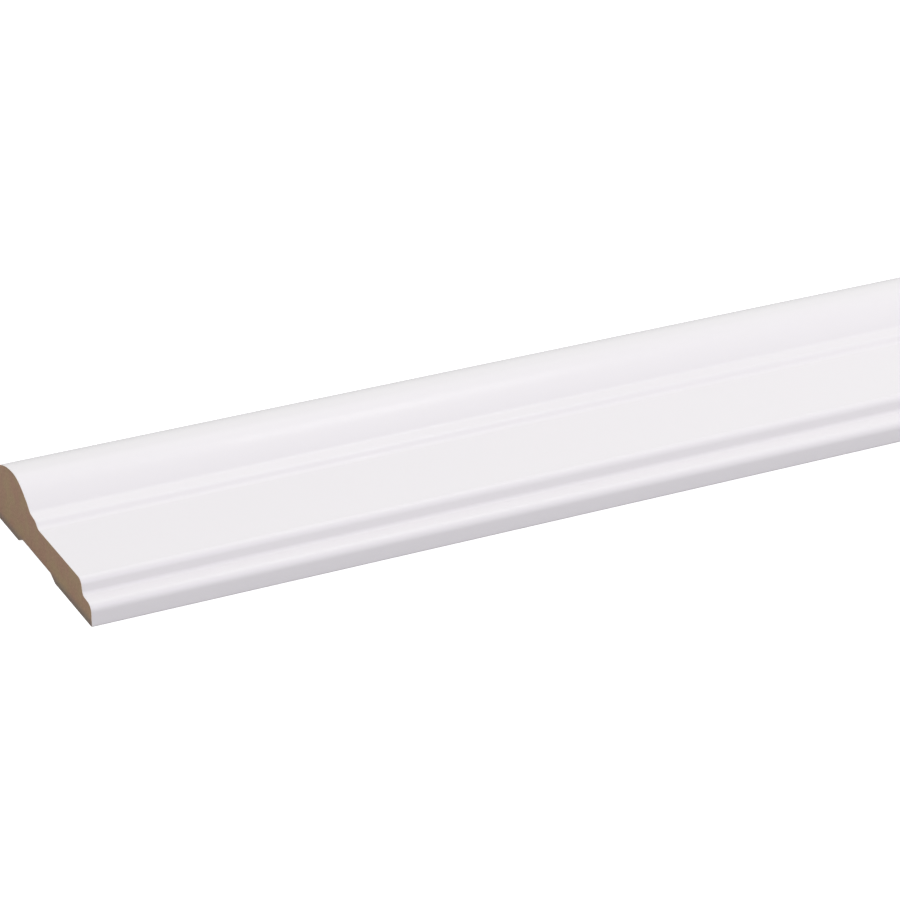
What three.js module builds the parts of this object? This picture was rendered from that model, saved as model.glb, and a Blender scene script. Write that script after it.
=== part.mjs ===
// A length of door architrave in moulded fibreboard with a white coat. It is one solid of one section,
// cut square at both ends. From the thin edge, beside the door, the face rises from a low band over a step
// to a flat field, over a soft step to a quirk, and up an ogee to the rolled crown of the thick outer edge.
// The back is hollowed a little between two flat lands, which sit on the wall and the door lining.
//
// Millimetres and degrees. +X runs along the length, +Y from the thin edge to the thick edge, +Z away from
// the wall. The origin is the middle of the back, in the plane of its lands.

import * as THREE from 'three';

// Driving dimensions
const LENGTH = 300;
const WIDTH = 70;
const THICKNESS = 18;

// Thin edge and the low band on it, which leans a little towards the edge
const ARRIS_RADIUS = 0.5;
const BAND_HEIGHT = 5.9;
const BAND_SLOPE = 4.5;
const BAND_EDGE_RADIUS = 2.1;

// Step from the band up to the field
const STEP_FOOT = 4.45;
const STEP_SLOPE = 78;
const STEP_COVE_RADIUS = 1.2;
const STEP_ROUND_RADIUS = 2.1;
const FIELD_HEIGHT = 10;

// Soft step from the field up to the quirk, a narrow leaning strip at the foot of the ogee
const SOFT_STEP_FOOT = 33.8;
const SOFT_STEP_SLOPE = 44;
const SOFT_STEP_RADIUS = 2.6;
const QUIRK_HEIGHT = 11.6;
const QUIRK_SLOPE = 9;

// Ogee: a small cove, and a long flank that swells up to the crown
const OGEE_FOOT = 39.1;
const OGEE_COVE_RADIUS = 2.4;
const FLANK_FOOT_SLOPE = 45;
const FLANK_RADIUS = 22;
const FLANK_TOP_SLOPE = 25;

// Roll from the crown down to the outer edge
const ROLL_RADIUS = 23;
const ROLL_TURN = 45;

// Hollow in the back, between its two lands
const HOLLOW_START = 24.2;
const HOLLOW_END = 50;
const HOLLOW_DEPTH = 1.5;
const HOLLOW_RAMP_SLOPE = 27;
const HOLLOW_RADIUS = 1;

// Each arc of the outline has twice this many straight facets
const HALF_ARC_FACETS = 6;

// Headings of the pen, in degrees from +Y towards +Z
const UP = 90;
const ACROSS = 0;
const DOWN = -90;
const BACK = -180;
const UP_AGAIN = -270;

const radians = THREE.MathUtils.degToRad;
const sine = (degrees) => Math.sin(radians(degrees));
const cosine = (degrees) => Math.cos(radians(degrees));

// How far an arc of this radius climbs between a slope and a gentler one, or level ground
const arcRise = (radius, slope, endSlope = ACROSS) => radius * (cosine(endSlope) - cosine(slope));

// A pen that walks once round the section, clockwise, with the solid on its right. It knows where it is and
// where it is heading, so every arc leaves its neighbours without a kink.
class SectionPen {
  constructor(y, z, heading) {
    this.outline = new THREE.Shape();
    this.outline.moveTo(y, z);
    this.y = y;
    this.z = z;
    this.heading = heading;
  }

  lineTo(y, z) {
    this.outline.lineTo(y, z);
    this.y = y;
    this.z = z;
  }

  // Straight on for a length
  go(length) {
    this.lineTo(this.y + length * cosine(this.heading), this.z + length * sine(this.heading));
  }

  // Straight on until the pen is at that height
  goToHeight(z) {
    this.go((z - this.z) / sine(this.heading));
  }

  // Straight on until the pen is that far across
  goAcrossTo(y) {
    this.go((y - this.y) / cosine(this.heading));
  }

  // Round an arc until the pen has the new heading. A left turn hollows the outline, a right turn rounds it.
  turn(radius, newHeading) {
    const side = newHeading > this.heading ? 1 : -1;
    const centreY = this.y - side * radius * sine(this.heading);
    const centreZ = this.z + side * radius * cosine(this.heading);
    const from = radians(this.heading - side * 90);
    const to = radians(newHeading - side * 90);
    this.outline.absarc(centreY, centreZ, radius, from, to, side < 0);
    this.y = centreY + radius * Math.cos(to);
    this.z = centreZ + radius * Math.sin(to);
    this.heading = newHeading;
  }
}

// The thin edge, from its lower arris up and over to the band
function drawThinEdge(pen) {
  pen.lineTo(0, BAND_HEIGHT - arcRise(BAND_EDGE_RADIUS, UP, BAND_SLOPE));
  pen.turn(BAND_EDGE_RADIUS, BAND_SLOPE);
}

// A step: out of the level, up a slope, and level or nearly so again at the new height
function drawStep(pen, foot, slope, coveRadius, roundRadius, newHeight, endSlope = ACROSS) {
  pen.goAcrossTo(foot);
  pen.turn(coveRadius, slope);
  pen.goToHeight(newHeight - arcRise(roundRadius, slope, endSlope));
  pen.turn(roundRadius, endSlope);
}

// The ogee, up to the crown, where the moulding has its full thickness
function drawOgee(pen) {
  pen.goAcrossTo(OGEE_FOOT);
  pen.turn(OGEE_COVE_RADIUS, FLANK_FOOT_SLOPE);
  pen.turn(FLANK_RADIUS, FLANK_TOP_SLOPE);
  const crownRadius = (THICKNESS - pen.z) / (1 - cosine(FLANK_TOP_SLOPE));
  pen.turn(crownRadius, ACROSS);
}

// The roll, closed by a smaller round that turns upright just at the full width
function drawRoll(pen) {
  pen.turn(ROLL_RADIUS, -ROLL_TURN);
  const edgeRadius = (WIDTH - pen.y) / (1 - sine(ROLL_TURN));
  pen.turn(edgeRadius, DOWN);
  pen.lineTo(WIDTH, ARRIS_RADIUS);
  pen.turn(ARRIS_RADIUS, BACK);
}

// One eased ramp of the back's hollow, between the lands and its floor
function drawRamp(pen, start, direction) {
  const cornerRise = arcRise(HOLLOW_RADIUS, HOLLOW_RAMP_SLOPE);
  const rampEnd = direction > 0 ? HOLLOW_DEPTH - cornerRise : cornerRise;
  pen.lineTo(start, pen.z);
  pen.turn(HOLLOW_RADIUS, BACK - direction * HOLLOW_RAMP_SLOPE);
  pen.goToHeight(rampEnd);
  pen.turn(HOLLOW_RADIUS, BACK);
}

// The back, from the outer land over the hollow to the land at the thin edge
function drawBack(pen) {
  const cornerRise = arcRise(HOLLOW_RADIUS, HOLLOW_RAMP_SLOPE);
  const cornerRun = HOLLOW_RADIUS * sine(HOLLOW_RAMP_SLOPE);
  const slopeRun = (HOLLOW_DEPTH - 2 * cornerRise) * cosine(HOLLOW_RAMP_SLOPE) / sine(HOLLOW_RAMP_SLOPE);
  const rampRun = 2 * cornerRun + slopeRun;
  drawRamp(pen, HOLLOW_END, 1);
  drawRamp(pen, HOLLOW_START + rampRun, -1);
  pen.lineTo(ARRIS_RADIUS, 0);
  pen.turn(ARRIS_RADIUS, UP_AGAIN);
}

function drawSection() {
  const pen = new SectionPen(0, ARRIS_RADIUS, UP);
  drawThinEdge(pen);
  drawStep(pen, STEP_FOOT, STEP_SLOPE, STEP_COVE_RADIUS, STEP_ROUND_RADIUS, FIELD_HEIGHT);
  drawStep(pen, SOFT_STEP_FOOT, SOFT_STEP_SLOPE, SOFT_STEP_RADIUS, SOFT_STEP_RADIUS, QUIRK_HEIGHT,
    QUIRK_SLOPE);
  drawOgee(pen);
  drawRoll(pen);
  drawBack(pen);
  return pen.outline;
}

function makeMoulding() {
  const geometry = new THREE.ExtrudeGeometry(drawSection(), {
    depth: LENGTH,
    steps: 1,
    bevelEnabled: false,
    curveSegments: HALF_ARC_FACETS,
  });
  const whiteCoat = new THREE.MeshStandardMaterial({ color: 0xf0eeef, roughness: 0.42, metalness: 0 });
  const moulding = new THREE.Mesh(geometry, whiteCoat);
  moulding.name = 'architrave_moulding';
  // The section is drawn flat and pushed out along Z, so it is turned to stand across the length
  moulding.rotation.set(Math.PI / 2, Math.PI / 2, 0);
  moulding.position.set(-LENGTH / 2, -WIDTH / 2, 0);
  return moulding;
}

const architrave = new THREE.Group();
architrave.name = 'door_architrave';
architrave.add(makeMoulding());

export default architrave;
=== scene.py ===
"""A cut length of door architrave in white coated fibreboard, dressed for a studio picture."""

import math
from typing import NamedTuple

import bpy
from bpy.props import FloatProperty, FloatVectorProperty, PointerProperty
from mathutils import Matrix, Vector, noise


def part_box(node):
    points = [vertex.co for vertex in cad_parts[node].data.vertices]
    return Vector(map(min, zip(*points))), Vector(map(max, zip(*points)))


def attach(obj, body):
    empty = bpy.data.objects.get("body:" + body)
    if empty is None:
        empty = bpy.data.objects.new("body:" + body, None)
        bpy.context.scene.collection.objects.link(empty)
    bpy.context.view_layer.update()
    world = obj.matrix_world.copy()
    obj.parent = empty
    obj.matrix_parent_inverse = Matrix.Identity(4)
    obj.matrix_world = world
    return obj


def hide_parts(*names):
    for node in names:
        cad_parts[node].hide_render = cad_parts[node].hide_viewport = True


bl_info = {
    "name": "Door architrave",
    "version": (1, 0, 0),
    "blender": (4, 5, 0),
    "location": "3D View > Sidebar > Architrave",
    "description": "Adds a cut length of moulded door architrave and a plain studio for it",
    "category": "Add Mesh",
}

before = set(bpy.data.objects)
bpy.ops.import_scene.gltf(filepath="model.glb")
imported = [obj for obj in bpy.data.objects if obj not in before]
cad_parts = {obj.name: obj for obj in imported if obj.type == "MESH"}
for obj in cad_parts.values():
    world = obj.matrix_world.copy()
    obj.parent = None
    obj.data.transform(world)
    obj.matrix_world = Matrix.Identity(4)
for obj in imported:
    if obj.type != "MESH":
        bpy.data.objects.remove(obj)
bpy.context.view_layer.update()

NODE = "architrave_moulding"
PIECE = "finished_moulding"
BODY = "root"

MM = 0.001
NODE_LOW, NODE_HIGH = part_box(NODE)
NODE_SIZE = NODE_HIGH - NODE_LOW

# Headings of the pen that draws the section, from +Y towards +Z
ACROSS = 0.0
UP = math.radians(90)
DOWN = -UP
BACK = -2 * UP
UP_AGAIN = -3 * UP

# How finely the section is drawn: the longest straight step, the longest step on an arc and the widest turn
LINE_STEP = 1.0 * MM
ARC_STEP = 0.5 * MM
TURN_STEP = math.radians(7.5)

# Rings of points along the length
RING_SPACING = 10 * MM

# Along a cut end: how far apart the saw's chips come and the coat's cut edge gets thicker and thinner, the
# least thickness of that edge and how much it wanders, as shares of the film, and the seeds of the two ends
CHIP_SPACING = 1.1 * MM
FILM_SPACING = 0.7 * MM
FILM_LEAST = 0.6
FILM_WANDER = 0.8
FILM_SEED_STEP = 0.5
LEFT_END_SEED = 3.0
RIGHT_END_SEED = 11.0

# Centre of the saw blade that cut the ends, well above the moulding
SAW_CENTRE = Vector((0, -45 * MM, 115 * MM))

# How far the board's hue strays from its colour, in the node's own measure, where a half is no change. A
# sawn end shows more of it than the planed back.
SAWN_MOTTLE = 0.012
PLANED_MOTTLE = 0.006

# Sockets of a Mix node that mixes colours, which it only tells apart by number
FACTOR, COLOUR_A, COLOUR_B, MIXED = 0, 6, 7, 2


def linear(hex_colour):
    """The linear colour, with alpha, of an sRGB hex value."""
    shares = [int(hex_colour[place:place + 2], 16) / 255 for place in (0, 2, 4)]
    return [c / 12.92 if c <= 0.04045 else ((c + 0.055) / 1.055) ** 2.4 for c in shares] + [1.0]


def size_property(name, description, metres):
    """A length that a user may change."""
    return FloatProperty(name=name, description=description, default=metres, min=0.0, precision=5,
                         unit="LENGTH", subtype="DISTANCE")


def slope_property(name, description, degrees):
    """An angle that a user may change."""
    return FloatProperty(name=name, description=description, default=math.radians(degrees),
                         unit="ROTATION", subtype="ANGLE")


def colour_property(name, description, hex_colour):
    """A colour that a user may change."""
    return FloatVectorProperty(name=name, description=description, default=linear(hex_colour),
                               size=4, min=0.0, max=1.0, subtype="COLOR")


class ArchitraveSection(bpy.types.PropertyGroup):
    """Sizes of the moulding and of its section."""

    length: size_property("Length", "Length of the piece between its cut ends", NODE_SIZE.x)
    width: size_property("Width", "Width from the thin edge to the thick edge", NODE_SIZE.y)
    thickness: size_property("Thickness", "Thickness at the crown of the thick edge", NODE_SIZE.z)
    arris_radius: size_property("Arris radius", "Round of the two long arrises at the back", 0.5 * MM)
    band_height: size_property("Band height", "Height of the low band where it starts", 5.9 * MM)
    band_slope: slope_property("Band slope", "How much the band leans towards the thin edge", 4.5)
    band_edge_radius: size_property("Band edge radius", "Round on the thin edge's upper corner", 2.1 * MM)
    step_foot: size_property("Step foot", "Where the band ends and the step starts", 4.45 * MM)
    step_slope: slope_property("Step slope", "Slope of the step between band and field", 78)
    step_cove_radius: size_property("Step cove radius", "Hollow at the foot of the step", 1.2 * MM)
    step_round_radius: size_property("Step round radius", "Round at the top of the step", 2.1 * MM)
    field_height: size_property("Field height", "Height of the flat field", 10 * MM)
    soft_step_foot: size_property("Soft step foot", "Where the field ends", 33.8 * MM)
    soft_step_slope: slope_property("Soft step slope", "Slope in the middle of the soft step", 44)
    soft_step_radius: size_property("Soft step radius", "Hollow and round of the soft step", 2.6 * MM)
    quirk_height: size_property("Quirk height", "Height of the quirk, a narrow strip, at its start",
                                11.6 * MM)
    quirk_slope: slope_property("Quirk slope", "How much the quirk leans towards the thin edge", 9)
    ogee_foot: size_property("Ogee foot", "Where the quirk ends and the ogee starts", 39.1 * MM)
    ogee_cove_radius: size_property("Ogee cove radius", "Hollow at the foot of the ogee", 2.4 * MM)
    flank_foot_slope: slope_property("Flank foot slope", "Slope at the foot of the long flank", 45)
    flank_radius: size_property("Flank radius", "Swell of the long flank", 22 * MM)
    flank_top_slope: slope_property("Flank top slope", "Slope at the top of the long flank", 25)
    roll_radius: size_property("Roll radius", "Round from the crown towards the outer edge", 23 * MM)
    roll_turn: slope_property("Roll turn", "How far the roll turns before the edge round", 45)
    hollow_start: size_property("Hollow start", "Where the hollow in the back starts", 24.2 * MM)
    hollow_end: size_property("Hollow end", "Where the hollow in the back ends", 50 * MM)
    hollow_depth: size_property("Hollow depth", "Depth of the hollow in the back", 1.5 * MM)
    hollow_slope: slope_property("Hollow slope", "Slope of the hollow's two ramps", 27)
    hollow_radius: size_property("Hollow radius", "Easing of the hollow's corners", 1 * MM)


class ArchitraveFinish(bpy.types.PropertyGroup):
    """Colours of the coat and the board, and the wear of the cut edge."""

    coat_colour: colour_property("Coat", "White satin lacquer", "E9E7E7")
    cut_coat_colour: colour_property("Cut coat", "Chalky edge of the lacquer where it was sawn", "F7F0E6")
    end_colour: colour_property("Sawn board", "Fibreboard on the sawn ends", "AA8C71")
    back_colour: colour_property("Planed board", "Fibreboard on the planed back", "B89C82")
    film_thickness: size_property("Film", "Thickness of the coat, seen at the cut ends", 0.04 * MM)
    cut_arris: size_property("Cut arris", "Break of the edge round the cut ends", 0.05 * MM)
    chip_depth: size_property("Chips", "Deepest chip that the saw left in the coat", 0.08 * MM)
    overspray: size_property("Overspray", "How far the coat's mist reaches over the back", 4 * MM)


class SectionPoint(NamedTuple):
    """A point of the section's outline, its outward normal as an angle, and whether the coat covers it."""

    y: float
    z: float
    normal: float
    coated: bool


def arc_rise(radius, slope, end_slope=ACROSS):
    """How far an arc climbs between a slope and a gentler one, or level ground."""
    return radius * (math.cos(end_slope) - math.cos(slope))


class SectionPen:
    """Walks once round the section, clockwise, with the solid on its right, and notes points as it goes.

    It keeps its heading, so every arc leaves its neighbours without a kink and each point has its true
    normal.
    """

    def __init__(self, y, z, heading):
        self.y = y
        self.z = z
        self.heading = heading
        self.coated = True
        self.points = []

    def note(self, y, z, heading):
        """Moves to a place and notes it as a point of the outline."""
        self.y = y
        self.z = z
        self.heading = heading
        self.points.append(SectionPoint(y, z, heading + UP, self.coated))

    def line_to(self, y, z):
        """Goes straight to a place."""
        start_y, start_z = self.y, self.z
        steps = math.ceil(math.hypot(y - start_y, z - start_z) / LINE_STEP)
        for step in range(1, steps + 1):
            share = step / steps
            self.note(start_y + (y - start_y) * share, start_z + (z - start_z) * share, self.heading)

    def go(self, length):
        """Goes straight on for a length."""
        self.line_to(self.y + length * math.cos(self.heading), self.z + length * math.sin(self.heading))

    def go_to_height(self, z):
        """Goes straight on until the pen is at that height."""
        self.go((z - self.z) / math.sin(self.heading))

    def go_across_to(self, y):
        """Goes straight on until the pen is that far across."""
        self.go((y - self.y) / math.cos(self.heading))

    def turn(self, radius, new_heading):
        """Goes round an arc. A left turn hollows the outline and a right turn rounds it."""
        start = self.heading
        side = math.copysign(1, new_heading - start)
        centre_y = self.y - side * radius * math.sin(start)
        centre_z = self.z + side * radius * math.cos(start)
        angle = abs(new_heading - start)
        steps = max(math.ceil(angle / TURN_STEP), math.ceil(radius * angle / ARC_STEP))
        for step in range(1, steps + 1):
            heading = start + (new_heading - start) * step / steps
            y = centre_y + side * radius * math.sin(heading)
            z = centre_z - side * radius * math.cos(heading)
            self.note(y, z, heading)


def draw_step(pen, foot, slope, cove_radius, round_radius, new_height, end_slope=ACROSS):
    """Out of the level, up a slope, and level or nearly so again at the new height."""
    pen.go_across_to(foot)
    pen.turn(cove_radius, slope)
    pen.go_to_height(new_height - arc_rise(round_radius, slope, end_slope))
    pen.turn(round_radius, end_slope)


def draw_ogee(pen, section):
    """A small cove, the long swelling flank, and the round up to the crown."""
    pen.go_across_to(section.ogee_foot)
    pen.turn(section.ogee_cove_radius, section.flank_foot_slope)
    pen.turn(section.flank_radius, section.flank_top_slope)
    crown_radius = (section.thickness - pen.z) / (1 - math.cos(section.flank_top_slope))
    pen.turn(crown_radius, ACROSS)


def draw_roll(pen, section):
    """The roll, closed by a smaller round that turns upright just at the full width."""
    pen.turn(section.roll_radius, -section.roll_turn)
    edge_radius = (section.width - pen.y) / (1 - math.sin(section.roll_turn))
    pen.turn(edge_radius, DOWN)
    pen.line_to(section.width, section.arris_radius)
    pen.turn(section.arris_radius, BACK)


def draw_ramp(pen, section, start, direction):
    """One eased ramp of the back's hollow, into it or out of it."""
    corner_rise = arc_rise(section.hollow_radius, section.hollow_slope)
    pen.line_to(start, pen.z)
    pen.turn(section.hollow_radius, BACK - direction * section.hollow_slope)
    pen.go_to_height(section.hollow_depth - corner_rise if direction > 0 else corner_rise)
    pen.turn(section.hollow_radius, BACK)


def draw_back(pen, section):
    """The bare back, from the outer land over the hollow to the land at the thin edge."""
    corner_rise = arc_rise(section.hollow_radius, section.hollow_slope)
    corner_run = section.hollow_radius * math.sin(section.hollow_slope)
    slope_run = (section.hollow_depth - 2 * corner_rise) / math.tan(section.hollow_slope)
    draw_ramp(pen, section, section.hollow_end, 1)
    draw_ramp(pen, section, section.hollow_start + 2 * corner_run + slope_run, -1)
    pen.line_to(section.arris_radius, 0)


def draw_section(section):
    """The points of the outline, from the foot of the thin edge over the face and along the back."""
    pen = SectionPen(0, section.arris_radius, UP)
    pen.line_to(0, section.band_height - arc_rise(section.band_edge_radius, UP, section.band_slope))
    pen.turn(section.band_edge_radius, section.band_slope)
    draw_step(pen, section.step_foot, section.step_slope, section.step_cove_radius,
              section.step_round_radius, section.field_height)
    draw_step(pen, section.soft_step_foot, section.soft_step_slope, section.soft_step_radius,
              section.soft_step_radius, section.quirk_height, section.quirk_slope)
    draw_ogee(pen, section)
    draw_roll(pen, section)
    pen.coated = False
    draw_back(pen, section)
    pen.coated = True
    pen.turn(section.arris_radius, UP_AGAIN)
    return pen.points


class Ring(NamedTuple):
    """One ring of points round the moulding, with a normal for each point."""

    points: list
    normals: list


def section_ring(outline, x):
    """The full section at a place along the length, which may differ from point to point."""
    points = [Vector((along, NODE_LOW.y + p.y, NODE_LOW.z + p.z)) for p, along in zip(outline, x)]
    normals = [Vector((0, math.cos(p.normal), math.sin(p.normal))) for p in outline]
    return Ring(points, normals)


def end_ring(outline, x, insets, outward):
    """A ring in the plane of a cut end, moved in from the outline by an inset at each point."""
    points = []
    for p, inset in zip(outline, insets):
        y = p.y - inset * math.cos(p.normal)
        z = p.z - inset * math.sin(p.normal)
        points.append(Vector((x, NODE_LOW.y + y, NODE_LOW.z + z)))
    return Ring(points, [outward] * len(points))


def ragged(outline, spacing, seed):
    """Numbers from 0 to 1 that wander along the outline, for what a saw leaves at an edge."""
    return [0.5 + 0.5 * noise.noise(Vector((p.y / spacing, p.z / spacing, seed))) for p in outline]


def cut_end_rings(outline, x, direction, finish, seed):
    """The three rings of a cut end: inner edge of the film, rim of the end, and start of the long faces."""
    chips = [max(0.0, 2 * share - 1) for share in ragged(outline, CHIP_SPACING, seed)]
    arrises = [finish.cut_arris + finish.chip_depth * chip for chip in chips]
    wander = ragged(outline, FILM_SPACING, seed + FILM_SEED_STEP)
    films = [finish.film_thickness * (FILM_LEAST + FILM_WANDER * share) for share in wander]
    outward = Vector((direction, 0, 0))
    inner = end_ring(outline, x, [arris + film for arris, film in zip(arrises, films)], outward)
    rim = end_ring(outline, x, arrises, outward)
    start = section_ring(outline, [x - direction * arris for arris in arrises])
    return [inner, rim, start]


def moulding_rings(outline, finish):
    """All rings from the left cut end to the right one."""
    first = cut_end_rings(outline, NODE_LOW.x, -1, finish, LEFT_END_SEED)
    last = cut_end_rings(outline, NODE_HIGH.x, 1, finish, RIGHT_END_SEED)
    count = round(NODE_SIZE.x / RING_SPACING)
    between = [section_ring(outline, [NODE_LOW.x + NODE_SIZE.x * step / count] * len(outline))
               for step in range(1, count)]
    return first + between + last[::-1]


def moulding_mesh(outline, rings, materials):
    """One closed mesh from the rings, with the materials of the coat, its cut edge, the ends and the back.

    The bands of faces between the three rings of a cut end are the coat's cut edge.
    """
    coat, cut_coat, cut_end, back = range(4)
    around = len(outline)
    last_ring = around * (len(rings) - 1)
    last_band = len(rings) - 2
    faces = [range(around), range(last_ring + around - 1, last_ring - 1, -1)]
    finishes = [cut_end, cut_end]
    for band in range(len(rings) - 1):
        on_end = band < 2 or band > last_band - 2
        for place in range(around):
            following = (place + 1) % around
            near, far = band * around, (band + 1) * around
            faces.append((near + place, far + place, far + following, near + following))
            coated = outline[following].coated
            if on_end:
                finishes.append(cut_coat if coated else cut_end)
            else:
                finishes.append(coat if coated else back)
    mesh = bpy.data.meshes.new(PIECE)
    mesh.from_pydata([point for ring in rings for point in ring.points], [], faces)
    mesh.polygons.foreach_set("material_index", finishes)
    mesh.shade_smooth()
    mesh.normals_split_custom_set_from_vertices([normal for ring in rings for normal in ring.normals])
    for material in materials:
        mesh.materials.append(material)
    return mesh


def add_node(tree, kind, inputs, **settings):
    """Adds a node with its settings. An input is given a value, or is linked where it is given a socket."""
    node = tree.nodes.new(kind)
    for name, value in settings.items():
        setattr(node, name, value)
    for name, value in inputs.items():
        if isinstance(value, bpy.types.NodeSocket):
            tree.links.new(value, node.inputs[name])
        else:
            node.inputs[name].default_value = value
    return node


def wave_scale(period):
    """The scale at which a Wave node repeats after this distance."""
    return math.pi / 10 / period


def new_material(name):
    """An empty material. Its surface is what its output node is given."""
    material = bpy.data.materials.new(name)
    material.use_nodes = True
    material.node_tree.nodes.clear()
    return material


def satin_lacquer_on_fibreboard(finish):
    """Satin acrylic lacquer, laid on sanded fibreboard by a coating head that the moulding is run through.

    It gives an even, soft sheen. Its orange peel is drawn out along the length into faint streaks.
    """
    material = new_material("satin_lacquer_on_fibreboard")
    tree = material.node_tree
    place = add_node(tree, "ShaderNodeTexCoord", {}).outputs["Object"]
    drawn_out = add_node(tree, "ShaderNodeMapping", {"Vector": place, "Scale": (0.15, 1, 1)})
    streaks = add_node(tree, "ShaderNodeTexNoise", {
        "Vector": drawn_out.outputs["Vector"],
        "Scale": 1 / (0.9 * MM),
        "Detail": 2.0,
    })
    peel = add_node(tree, "ShaderNodeTexNoise", {"Vector": place, "Scale": 1 / (1.6 * MM), "Detail": 1.0})
    height = add_node(tree, "ShaderNodeMath", {
        0: streaks.outputs["Fac"],
        1: peel.outputs["Fac"],
    }, operation="ADD")
    bump = add_node(tree, "ShaderNodeBump", {
        "Height": height.outputs["Value"],
        "Strength": 0.3,
        "Distance": 0.015 * MM,
    })
    patches = add_node(tree, "ShaderNodeTexNoise", {"Vector": place, "Scale": 1 / (14 * MM), "Detail": 2.0})
    roughness = add_node(tree, "ShaderNodeMapRange", {
        "Value": patches.outputs["Fac"],
        "From Min": 0.3,
        "From Max": 0.7,
        "To Min": 0.22,
        "To Max": 0.26,
    })
    shader = add_node(tree, "ShaderNodeBsdfPrincipled", {
        "Base Color": list(finish.coat_colour),
        "Roughness": roughness.outputs["Result"],
        "IOR": 1.49,
        "Normal": bump.outputs["Normal"],
    })
    add_node(tree, "ShaderNodeOutputMaterial", {"Surface": shader.outputs["BSDF"]})
    return material


def sawn_lacquer_edge(finish):
    """The lacquer's own edge where the saw broke its skin: chalky, creamy white, with brown dust in it."""
    material = new_material("sawn_lacquer_edge")
    tree = material.node_tree
    place = add_node(tree, "ShaderNodeTexCoord", {}).outputs["Object"]
    grains = add_node(tree, "ShaderNodeTexNoise", {"Vector": place, "Scale": 1 / (0.3 * MM), "Detail": 2.0})
    dust = add_node(tree, "ShaderNodeMapRange", {
        "Value": grains.outputs["Fac"],
        "From Min": 0.5,
        "From Max": 0.75,
        "To Max": 0.35,
    })
    colour = add_node(tree, "ShaderNodeMix", {
        FACTOR: dust.outputs["Result"],
        COLOUR_A: list(finish.cut_coat_colour),
        COLOUR_B: list(finish.end_colour),
    }, data_type="RGBA")
    shader = add_node(tree, "ShaderNodeBsdfPrincipled", {
        "Base Color": colour.outputs[MIXED],
        "Roughness": 0.75,
        "IOR": 1.49,
    })
    add_node(tree, "ShaderNodeOutputMaterial", {"Surface": shader.outputs["BSDF"]})
    return material


def fibreboard_flecks(tree, place, stretch, fleck):
    """Light and dark fibres of the board, as a number from 0 to 1. They lie along the stretched axes."""
    lying = add_node(tree, "ShaderNodeMapping", {"Vector": place, "Scale": stretch})
    flecks = add_node(tree, "ShaderNodeTexNoise", {
        "Vector": lying.outputs["Vector"],
        "Scale": 1 / fleck,
        "Detail": 4.0,
        "Roughness": 0.65,
    })
    return flecks.outputs["Fac"]


def fibreboard_colour(tree, place, colour, tone, saturation, mottle):
    """The board's brown, made brighter or darker by the tone, and redder and greener in blotches."""
    blotches = add_node(tree, "ShaderNodeTexNoise", {"Vector": place, "Scale": 1 / (6 * MM), "Detail": 1.0})
    hue = add_node(tree, "ShaderNodeMapRange", {
        "Value": blotches.outputs["Fac"],
        "From Min": 0.38,
        "From Max": 0.62,
        "To Min": 0.5 - mottle,
        "To Max": 0.5 + mottle,
    })
    return add_node(tree, "ShaderNodeHueSaturation", {
        "Hue": hue.outputs["Result"],
        "Saturation": saturation,
        "Value": tone,
        "Color": colour,
    }).outputs["Color"]


def sawn_fibreboard(finish, section):
    """Medium density fibreboard cut across by a circular saw: matt, finely flecked, with faint curved marks.

    The board was pressed denser at its two skins, which cut darker. They show along the back and the crown.
    The band along the back is also painted shade: it is made darker and greyer where the end stands on the
    floor.
    """
    material = new_material("sawn_fibreboard")
    tree = material.node_tree
    place = add_node(tree, "ShaderNodeTexCoord", {}).outputs["Object"]
    flecks = fibreboard_flecks(tree, place, (1, 0.35, 1), 0.4 * MM)
    height = add_node(tree, "ShaderNodeSeparateXYZ", {"Vector": place}).outputs["Z"]
    # Darker and greyer towards the back: partly the board's denser skin, partly painted shade along the back
    # edge where it meets the floor
    back_skin_and_shade = add_node(tree, "ShaderNodeMapRange", {
        "Value": height,
        "From Min": 0.0,
        "From Max": 3 * MM,
        "To Min": 0.62,
        "To Max": 1.0,
    }, interpolation_type="SMOOTHSTEP")
    front_skin = add_node(tree, "ShaderNodeMapRange", {
        "Value": height,
        "From Min": section.thickness - 1.5 * MM,
        "From Max": section.thickness,
        "To Min": 1.0,
        "To Max": 0.85,
    }, interpolation_type="SMOOTHSTEP")
    skins = add_node(tree, "ShaderNodeMath", {
        0: back_skin_and_shade.outputs["Result"],
        1: front_skin.outputs["Result"],
    }, operation="MULTIPLY")
    fleck_tone = add_node(tree, "ShaderNodeMapRange", {
        "Value": flecks,
        "From Min": 0.3,
        "From Max": 0.7,
        "To Min": 0.86,
        "To Max": 1.14,
    })
    tone = add_node(tree, "ShaderNodeMath", {
        0: skins.outputs["Value"],
        1: fleck_tone.outputs["Result"],
    }, operation="MULTIPLY")
    colour = fibreboard_colour(tree, place, list(finish.end_colour), tone.outputs["Value"],
                               back_skin_and_shade.outputs["Result"], SAWN_MOTTLE)

    # The marks are arcs of the blade's rim
    blade = add_node(tree, "ShaderNodeMapping", {"Vector": place, "Location": -SAW_CENTRE})
    marks = add_node(tree, "ShaderNodeTexWave", {
        "Vector": blade.outputs["Vector"],
        "Scale": wave_scale(1.1 * MM),
        "Distortion": 1.5,
        "Detail": 1.0,
        "Detail Scale": 0.3,
    }, wave_type="RINGS", rings_direction="X")
    relief = add_node(tree, "ShaderNodeMath", {
        0: marks.outputs["Fac"],
        1: 0.35,
        2: flecks,
    }, operation="MULTIPLY_ADD")
    bump = add_node(tree, "ShaderNodeBump", {
        "Height": relief.outputs["Value"],
        "Strength": 0.5,
        "Distance": 0.12 * MM,
    })
    shader = add_node(tree, "ShaderNodeBsdfPrincipled", {
        "Base Color": colour,
        "Roughness": 0.9,
        "Normal": bump.outputs["Normal"],
    })
    add_node(tree, "ShaderNodeOutputMaterial", {"Surface": shader.outputs["BSDF"]})
    return material


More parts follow.
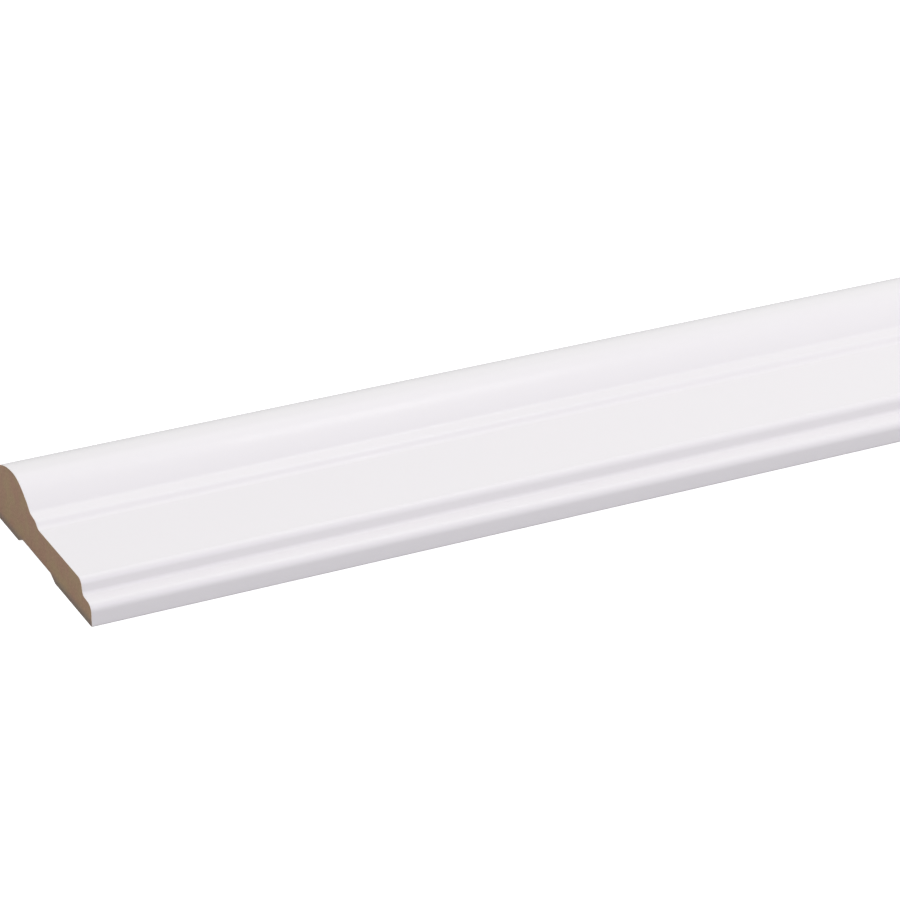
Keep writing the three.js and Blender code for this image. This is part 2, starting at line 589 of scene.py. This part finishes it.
def planed_fibreboard(finish, section):
    """Medium density fibreboard planed by rotary cutters: smoother than a sawn end, with a fine ripple.

    It is bare, apart from a mist of the coat that drifted under the two long edges.
    """
    material = new_material("planed_fibreboard")
    tree = material.node_tree
    place = add_node(tree, "ShaderNodeTexCoord", {}).outputs["Object"]
    flecks = fibreboard_flecks(tree, place, (0.5, 1, 1), 0.5 * MM)
    tone = add_node(tree, "ShaderNodeMapRange", {
        "Value": flecks,
        "From Min": 0.3,
        "From Max": 0.7,
        "To Min": 0.9,
        "To Max": 1.1,
    })
    board = fibreboard_colour(tree, place, list(finish.back_colour), tone.outputs["Result"], 1.0,
                              PLANED_MOTTLE)

    across = add_node(tree, "ShaderNodeSeparateXYZ", {"Vector": place}).outputs["Y"]
    off_middle = add_node(tree, "ShaderNodeMath", {0: across}, operation="ABSOLUTE")
    nearness = add_node(tree, "ShaderNodeMapRange", {
        "Value": off_middle.outputs["Value"],
        "From Min": section.width / 2 - finish.overspray,
        "From Max": section.width / 2,
    })
    droplets = add_node(tree, "ShaderNodeTexNoise", {
        "Vector": place,
        "Scale": 1 / (0.6 * MM),
        "Detail": 3.0,
    })
    reach = add_node(tree, "ShaderNodeMath", {
        0: nearness.outputs["Result"],
        1: droplets.outputs["Fac"],
    }, operation="ADD")
    mist = add_node(tree, "ShaderNodeMapRange", {
        "Value": reach.outputs["Value"],
        "From Min": 0.9,
        "From Max": 1.3,
    })
    colour = add_node(tree, "ShaderNodeMix", {
        FACTOR: mist.outputs["Result"],
        COLOUR_A: board,
        COLOUR_B: list(finish.coat_colour),
    }, data_type="RGBA")

    ripple = add_node(tree, "ShaderNodeTexWave", {
        "Vector": place,
        "Scale": wave_scale(1.8 * MM),
        "Distortion": 0.4,
        "Detail": 1.0,
        "Detail Scale": 0.1,
    }, wave_type="BANDS", bands_direction="X")
    relief = add_node(tree, "ShaderNodeMath", {
        0: flecks,
        1: 0.4,
        2: ripple.outputs["Fac"],
    }, operation="MULTIPLY_ADD")
    bump = add_node(tree, "ShaderNodeBump", {
        "Height": relief.outputs["Value"],
        "Strength": 0.5,
        "Distance": 0.03 * MM,
    })
    shader = add_node(tree, "ShaderNodeBsdfPrincipled", {
        "Base Color": colour.outputs[MIXED],
        "Roughness": 0.75,
        "Normal": bump.outputs["Normal"],
    })
    add_node(tree, "ShaderNodeOutputMaterial", {"Surface": shader.outputs["BSDF"]})
    return material


class ARCHITRAVE_OT_add_moulding(bpy.types.Operator):
    """Add the cut length of architrave, with its coat, sawn ends and bare back"""

    bl_idname = "architrave.add_moulding"
    bl_label = "Moulding"

    def execute(self, context):
        section = context.scene.architrave_section
        finish = context.scene.architrave_finish
        outline = draw_section(section)
        materials = (satin_lacquer_on_fibreboard(finish), sawn_lacquer_edge(finish),
                     sawn_fibreboard(finish, section), planed_fibreboard(finish, section))
        mesh = moulding_mesh(outline, moulding_rings(outline, finish), materials)
        moulding = bpy.data.objects.new(PIECE, mesh)
        context.scene.collection.objects.link(moulding)
        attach(moulding, BODY)
        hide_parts(NODE)
        return {"FINISHED"}


# Camera, from the picture's own perspective: how far the length turns from the picture plane, the height of
# the view, and where the lower corner of the thin edge shows at the left cut end, in a 900 pixel square
VIEW_HEADING = math.radians(26.35)
VIEW_ELEVATION = math.radians(26.08)
PICTURE_SIDE = 900
SENSOR_WIDTH = 36.0
FOCAL_LENGTH = 145.7
CORNER_PIXEL = (91.6, 625.0)
CORNER_DISTANCE = 858.4 * MM
CORNER_IN_SECTION = (0.24 * MM, 0.64 * MM)


def add_camera():
    """Places the camera so that the lower corner at the left cut end shows at its pixel."""
    right = Vector((math.cos(VIEW_HEADING), -math.sin(VIEW_HEADING), 0))
    level = Vector((math.sin(VIEW_HEADING), math.cos(VIEW_HEADING), 0))
    forward = level * math.cos(VIEW_ELEVATION) - Vector((0, 0, math.sin(VIEW_ELEVATION)))
    up = right.cross(forward)
    pixels_per_distance = FOCAL_LENGTH / SENSOR_WIDTH * PICTURE_SIDE
    across = (CORNER_PIXEL[0] - PICTURE_SIDE / 2) / pixels_per_distance * CORNER_DISTANCE
    above = (PICTURE_SIDE / 2 - CORNER_PIXEL[1]) / pixels_per_distance * CORNER_DISTANCE
    corner = NODE_LOW + Vector((0, *CORNER_IN_SECTION))
    place = corner - across * right - above * up - CORNER_DISTANCE * forward
    data = bpy.data.cameras.new("camera")
    data.lens = FOCAL_LENGTH
    data.sensor_width = SENSOR_WIDTH
    camera = bpy.data.objects.new("camera", data)
    camera.matrix_world = Matrix.Translation(place) @ Matrix((right, up, -forward)).transposed().to_4x4()
    bpy.context.scene.collection.objects.link(camera)
    bpy.context.scene.camera = camera


class Softbox(NamedTuple):
    """A square soft light: place and side in metres, power in watts, and colour."""

    place: tuple
    side: float
    watts: float
    colour: str = "FFFFFF"


# The key is small, and gives the soft highlight along the flank
SOFTBOXES = {
    "overhead": Softbox(place=(0.0, -0.35, 1.6), side=1.6, watts=1.8),
    "behind": Softbox(place=(0.0, 0.7, 1.4), side=1.2, watts=2.4),
    "front": Softbox(place=(0.0, -1.3, 1.1), side=1.0, watts=3.8, colour="E4D6FF"),
    "right": Softbox(place=(1.6, -0.2, 0.8), side=1.0, watts=10.7),
    "key": Softbox(place=(0.53, 0.19, 1.39), side=0.2, watts=0.37),
}
SURROUND_STRENGTH = 0.75

# The paper sweep throws back about half of the light. In the picture it is lifted to clear white.
FLOOR_SIDE = 12.0
FLOOR_GAP = 0.05 * MM
FLOOR_COLOUR = "BCBCBC"
FLOOR_LIFT = 0.96


def add_softbox(name, box):
    """Hangs a soft light that looks at the moulding and doesn't show itself."""
    data = bpy.data.lights.new(name, "AREA")
    data.shape = "SQUARE"
    data.size = box.side
    data.energy = box.watts
    data.color = linear(box.colour)[:3]
    light = bpy.data.objects.new(name, data)
    light.location = box.place
    light.rotation_euler = (-Vector(box.place)).to_track_quat("-Z", "Y").to_euler()
    light.visible_camera = False
    bpy.context.scene.collection.objects.link(light)


def paper_sweep():
    """White seamless paper, matt and even."""
    material = new_material("paper_sweep")
    tree = material.node_tree
    paper = add_node(tree, "ShaderNodeBsdfDiffuse", {"Color": linear(FLOOR_COLOUR)})
    seen = add_node(tree, "ShaderNodeLightPath", {}).outputs["Is Camera Ray"]
    strength = add_node(tree, "ShaderNodeMath", {0: seen, 1: FLOOR_LIFT}, operation="MULTIPLY")
    lift = add_node(tree, "ShaderNodeEmission", {"Strength": strength.outputs["Value"]})
    both = add_node(tree, "ShaderNodeAddShader", {0: paper.outputs["BSDF"], 1: lift.outputs["Emission"]})
    add_node(tree, "ShaderNodeOutputMaterial", {"Surface": both.outputs["Shader"]})
    return material


def add_floor():
    """A plain pale floor, just under the moulding."""
    half = FLOOR_SIDE / 2
    corners = [(-half, -half, 0), (half, -half, 0), (half, half, 0), (-half, half, 0)]
    mesh = bpy.data.meshes.new("floor")
    mesh.from_pydata(corners, [], [range(4)])
    mesh.materials.append(paper_sweep())
    floor = bpy.data.objects.new("floor", mesh)
    floor.location.z = NODE_LOW.z - FLOOR_GAP
    bpy.context.scene.collection.objects.link(floor)


def add_surround():
    """An even pale surround, which shows as clear white beyond the floor."""
    world = bpy.data.worlds.new("studio")
    world.use_nodes = True
    tree = world.node_tree
    tree.nodes.clear()
    seen = add_node(tree, "ShaderNodeLightPath", {}).outputs["Is Camera Ray"]
    strength = add_node(tree, "ShaderNodeMix", {"Factor": seen, "A": SURROUND_STRENGTH, "B": 1.0})
    air = add_node(tree, "ShaderNodeBackground", {
        "Color": linear("FFFFFF"),
        "Strength": strength.outputs["Result"],
    })
    add_node(tree, "ShaderNodeOutputWorld", {"Surface": air.outputs["Background"]})
    bpy.context.scene.world = world


class ARCHITRAVE_OT_add_stage(bpy.types.Operator):
    """Add the floor, the soft lights, the surround and the camera"""

    bl_idname = "architrave.add_stage"
    bl_label = "Stage"

    def execute(self, context):
        context.scene.view_settings.view_transform = "Standard"
        add_floor()
        add_surround()
        for name, box in SOFTBOXES.items():
            add_softbox(name, box)
        add_camera()
        return {"FINISHED"}


class ARCHITRAVE_PT_sidebar(bpy.types.Panel):
    """Lists the pieces, their sizes and their finish"""

    bl_idname = "ARCHITRAVE_PT_sidebar"
    bl_label = "Door architrave"
    bl_space_type = "VIEW_3D"
    bl_region_type = "UI"
    bl_category = "Architrave"

    def draw(self, context):
        for operator in OPERATORS:
            self.layout.operator(operator.bl_idname)
        for group in (context.scene.architrave_section, context.scene.architrave_finish):
            box = self.layout.box()
            for name in type(group).__annotations__:
                box.prop(group, name)


OPERATORS = (ARCHITRAVE_OT_add_stage, ARCHITRAVE_OT_add_moulding)
CLASSES = (ArchitraveSection, ArchitraveFinish, *OPERATORS, ARCHITRAVE_PT_sidebar)


def register():
    for cls in CLASSES:
        bpy.utils.register_class(cls)
    bpy.types.Scene.architrave_section = PointerProperty(type=ArchitraveSection)
    bpy.types.Scene.architrave_finish = PointerProperty(type=ArchitraveFinish)


def unregister():
    del bpy.types.Scene.architrave_finish
    del bpy.types.Scene.architrave_section
    for cls in reversed(CLASSES):
        bpy.utils.unregister_class(cls)


def main():
    register()
    bpy.ops.architrave.add_stage()
    bpy.ops.architrave.add_moulding()


if __name__ == "__main__":
    main()
